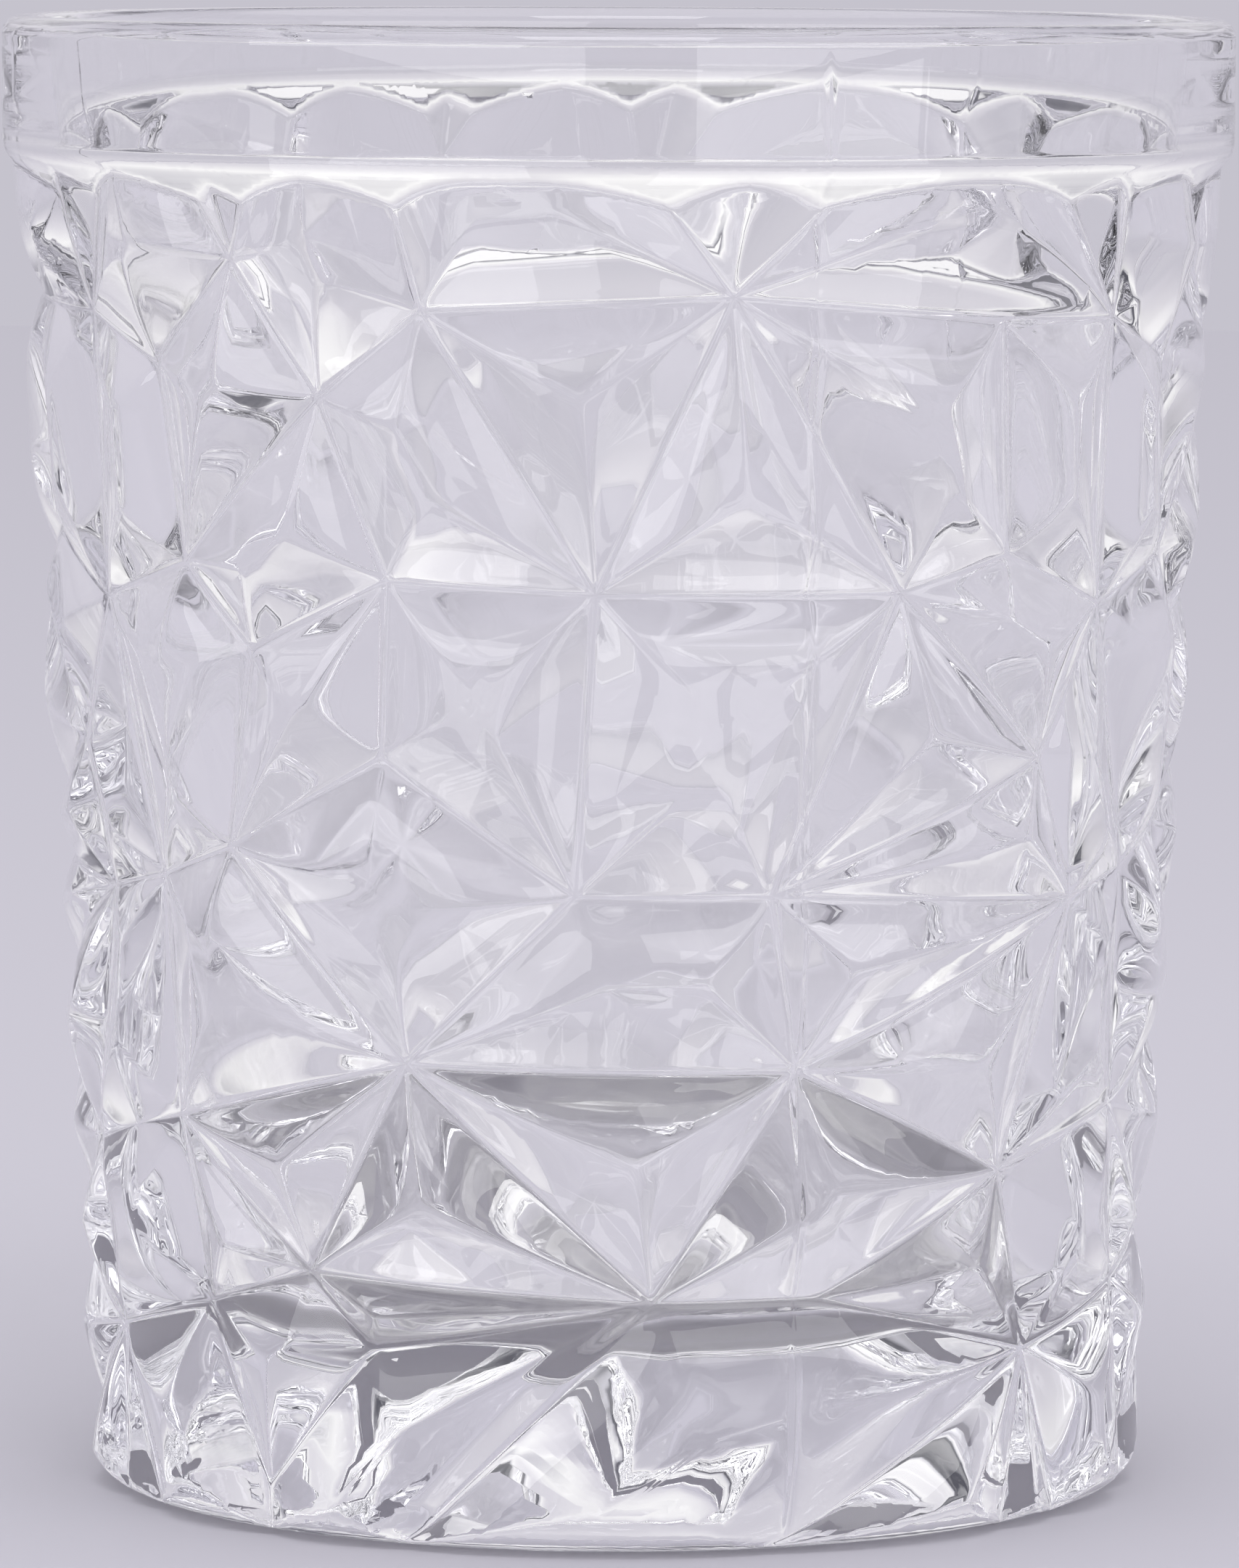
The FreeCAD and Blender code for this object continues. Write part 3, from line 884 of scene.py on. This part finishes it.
def dust_specks(tree, place, finish):
    """Mask of the dust specks, strongest in the middle of each."""
    link = tree.links.new
    cells = add_node(tree, "ShaderNodeTexVoronoi", -800, 300)
    cells.inputs["Scale"].default_value = finish.speck_scale
    link(place, cells.inputs["Vector"])
    speck = add_node(tree, "ShaderNodeMapRange", -600, 300)
    speck.inputs["From Min"].default_value = finish.speck_size * finish.speck_scale
    speck.inputs["From Max"].default_value = 0.0
    link(cells.outputs["Distance"], speck.inputs["Value"])
    return speck.outputs[0]


def fine_ripples(tree, place, finish):
    """Normals of the faintly rippled skin."""
    link = tree.links.new
    ripple = add_node(tree, "ShaderNodeTexNoise", -400, -300)
    ripple.inputs["Scale"].default_value = finish.ripple_scale
    ripple.inputs["Detail"].default_value = FINER_OCTAVES
    link(place, ripple.inputs["Vector"])
    skin = add_node(tree, "ShaderNodeBump", 0, -300)
    skin.inputs["Strength"].default_value = 1.0
    skin.inputs["Distance"].default_value = finish.ripple_height
    link(ripple.outputs[0], skin.inputs["Height"])
    return skin.outputs[0]


def clear_glass(finish):
    """Clear pressed glass: fire polished and faintly rippled, with dust, and worn on its foot."""
    material = new_material("clear_glass")
    tree = material.node_tree
    link = tree.links.new
    output = add_node(tree, "ShaderNodeOutputMaterial", 600, 0)
    shader = add_node(tree, "ShaderNodeBsdfPrincipled", 300, 0)
    shader.inputs["Base Color"].default_value = (1.0, 1.0, 1.0, 1.0)
    shader.inputs["Transmission Weight"].default_value = 1.0
    shader.inputs["Metallic"].default_value = 0.0
    shader.inputs["IOR"].default_value = finish.index
    link(shader.outputs[0], output.inputs["Surface"])

    place = add_node(tree, "ShaderNodeTexCoord", -1000, 0).outputs["Object"]
    marked = add_arithmetic(tree, "MAXIMUM", -400, 300, dust_specks(tree, place, finish),
                            worn_foot(tree, place))
    rough = add_node(tree, "ShaderNodeMapRange", -200, 0)
    rough.inputs["To Min"].default_value = finish.polish
    rough.inputs["To Max"].default_value = finish.stand_wear
    link(marked, rough.inputs["Value"])
    link(rough.outputs[0], shader.inputs["Roughness"])
    link(fine_ripples(tree, place, finish), shader.inputs["Normal"])

    inside = add_node(tree, "ShaderNodeVolumeAbsorption", 300, -500)
    inside.inputs["Color"].default_value = (*finish.tint, 1.0)
    inside.inputs["Density"].default_value = finish.tint_density
    link(inside.outputs[0], output.inputs["Volume"])
    return material


def seen(tree, x, y):
    """Mask of the rays that reach the lens straight, or by way of glass."""
    rays = add_node(tree, "ShaderNodeLightPath", x, y).outputs
    opaque = add_arithmetic(tree, "MAXIMUM", x + 200, y, rays["Is Camera Ray"], rays["Is Glossy Ray"])
    return add_arithmetic(tree, "MAXIMUM", x + 360, y, opaque, rays["Is Transmission Ray"])


def pale_table(studio):
    """Plain pale table top, with no shine."""
    material = new_material("pale_table")
    tree = material.node_tree
    output = add_node(tree, "ShaderNodeOutputMaterial", 600, 0)
    shader = add_node(tree, "ShaderNodeBsdfPrincipled", 300, 0)
    shader.inputs["Base Color"].default_value = (*studio.table_colour, 1.0)
    shader.inputs["Roughness"].default_value = studio.table_roughness
    shader.inputs["Specular IOR Level"].default_value = 0.0
    tree.links.new(shader.outputs[0], output.inputs["Surface"])
    return material


# ---------------------------------------------------------------- the operators

class TUMBLER_OT_glass(bpy.types.Operator):
    """Make the tumbler's glass: one closed skin with its relief, band, bowl and foot"""

    bl_idname = "tumbler.glass"
    bl_label = "Make Glass"

    def execute(self, context):
        shape, finish = context.scene.tumbler_shape, context.scene.tumbler_finish
        material = clear_glass(finish)
        mesh = Repeat(shape).mesh("glass_repeat")
        glass = applied_nodes("tumbler_glass", mesh, repeats_tree(), {
            "Repeats": REPEATS,
            "Merge Distance": SAME_POINT,
            "Wave Height": shape.wave_height,
            "Wave Scale": shape.wave_scale,
            "Seed": shape.seed,
            "Material": material,
        })
        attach(glass, "root")
        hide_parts(GLASS_NODE)
        return {"FINISHED"}


TABLE_CORNERS = 96

# Soft boxes: bearing from the front towards +X and height in degrees as the glass sees them,
# distance, width and height in metres, and brightness, where 1 is white.
SOFT_BOXES = {
    "left_soft_box": (-44, 10, 1.2, 1.20, 0.31, 2.0),
    "right_soft_box": (36, 16, 1.2, 1.30, 0.40, 1.7),
    "key_soft_box": (0, 51, 1.3, 0.65, 0.42, 3.2),
}

# Colours of the surroundings at heights given as the sine of the angle above the horizon: a pale
# lilac grey backdrop all round, a bright band over it, and a dim room with a white ceiling. The
# lens, reflections and the glass all see the same.
SURROUNDINGS = [
    (0.00, (0.56, 0.545, 0.61)), (0.11, (0.66, 0.64, 0.70)), (0.20, (0.76, 0.74, 0.79)),
    (0.34, (1.00, 0.99, 0.99)), (0.48, (0.55, 0.54, 0.59)), (0.57, (0.08, 0.08, 0.10)),
    (0.73, (0.08, 0.08, 0.10)), (0.79, (1.00, 0.99, 1.00)),
]


def add_soft_box(name, bearing, above, distance, width, height, brightness):
    """Soft box that looks at the middle of the glass."""
    aim = Vector((0.0, 0.0, GLASS_HIGH.z / 2))
    bearing, above = math.radians(bearing), math.radians(above)
    towards = Vector((math.sin(bearing) * math.cos(above), -math.cos(bearing) * math.cos(above),
                      math.sin(above)))
    light = bpy.data.lights.new(name, "AREA")
    light.shape = "RECTANGLE"
    light.size, light.size_y = width, height
    light.energy = brightness * math.pi * width * height
    lamp = bpy.data.objects.new(name, light)
    lamp.location = aim + towards * distance
    lamp.rotation_euler = towards.to_track_quat("Z", "Y").to_euler()
    bpy.context.scene.collection.objects.link(lamp)


def studio_world(studio):
    """Pale surroundings, the same to the lens and to the glass, with an even light on the rest."""
    world = bpy.data.worlds.new("studio")
    world.use_nodes = True
    tree = world.node_tree
    tree.nodes.clear()
    link = tree.links.new
    output = add_node(tree, "ShaderNodeOutputWorld", 800, 0)
    background = add_node(tree, "ShaderNodeBackground", 600, 0)
    link(background.outputs[0], output.inputs["Surface"])
    place = add_node(tree, "ShaderNodeTexCoord", -400, 0)
    split = add_node(tree, "ShaderNodeSeparateXYZ", -200, 0)
    link(place.outputs["Generated"], split.inputs[0])
    ramp = add_node(tree, "ShaderNodeValToRGB", 0, 0)
    link(split.outputs["Z"], ramp.inputs["Fac"])
    stops = ramp.color_ramp.elements
    while len(stops) < len(SURROUNDINGS):
        stops.new(1.0)
    for stop, (above, colour) in zip(stops, SURROUNDINGS):
        stop.position, stop.color = above, (*colour, 1.0)
    tone = add_node(tree, "ShaderNodeMix", 400, 0, data_type="RGBA")
    tone.inputs["A"].default_value = (studio.ambient,) * 3 + (1.0,)
    link(ramp.outputs["Color"], tone.inputs["B"])
    link(seen(tree, -200, 400), tone.inputs["Factor"])
    link(tone.outputs["Result"], background.inputs["Color"])
    return world


def add_table(context, studio):
    """Round table top that the glass stands on."""
    bpy.ops.mesh.primitive_circle_add(vertices=TABLE_CORNERS, radius=studio.table_radius,
                                      fill_type="NGON")
    table = context.active_object
    table.name = "table"
    table.data.materials.append(pale_table(studio))


def add_camera(scene, studio):
    """Camera in front of the glass, a little above its lip and looking down at it."""
    camera = bpy.data.objects.new("camera", bpy.data.cameras.new("camera"))
    camera.data.lens = studio.lens
    camera.location = (0.0, -studio.camera_distance, studio.camera_height)
    camera.rotation_euler = (math.pi / 2 - studio.camera_pitch, -studio.camera_roll, 0.0)
    scene.collection.objects.link(camera)
    scene.camera = camera


class TUMBLER_OT_studio(bpy.types.Operator):
    """Make the stage: the pale table, the surroundings, the lamps and the camera"""

    bl_idname = "tumbler.studio"
    bl_label = "Make Studio"

    def execute(self, context):
        scene, studio = context.scene, context.scene.tumbler_studio
        add_table(context, studio)
        scene.world = studio_world(studio)
        for name, settings in SOFT_BOXES.items():
            add_soft_box(name, *settings)
        add_camera(scene, studio)
        scene.view_settings.view_transform = "Standard"
        # Light turns round inside thick glass many times before it leaves.
        scene.cycles.glossy_bounces = studio.inner_turns
        scene.cycles.transmission_bounces = studio.inner_turns
        scene.cycles.max_bounces = studio.inner_turns
        return {"FINISHED"}


class TUMBLER_PT_panel(bpy.types.Panel):
    """The tumbler's steps and sizes in the 3D view's sidebar"""

    bl_idname = "TUMBLER_PT_panel"
    bl_label = "Tumbler"
    bl_space_type = "VIEW_3D"
    bl_region_type = "UI"
    bl_category = "Tumbler"

    def draw(self, context):
        layout = self.layout
        for operator in (TUMBLER_OT_glass, TUMBLER_OT_studio):
            layout.operator(operator.bl_idname)
        for group in (context.scene.tumbler_shape, context.scene.tumbler_finish,
                      context.scene.tumbler_studio):
            box = layout.box()
            for name in group.__annotations__:
                box.prop(group, name)


CLASSES = (TumblerShape, GlassFinish, StudioSet, TUMBLER_OT_glass, TUMBLER_OT_studio,
           TUMBLER_PT_panel)


def register():
    for cls in CLASSES:
        bpy.utils.register_class(cls)
    bpy.types.Scene.tumbler_shape = PointerProperty(type=TumblerShape)
    bpy.types.Scene.tumbler_finish = PointerProperty(type=GlassFinish)
    bpy.types.Scene.tumbler_studio = PointerProperty(type=StudioSet)


def unregister():
    del bpy.types.Scene.tumbler_studio
    del bpy.types.Scene.tumbler_finish
    del bpy.types.Scene.tumbler_shape
    for cls in reversed(CLASSES):
        bpy.utils.unregister_class(cls)


def main():
    register()
    bpy.ops.tumbler.glass()
    bpy.ops.tumbler.studio()


if __name__ == "__main__":
    main()
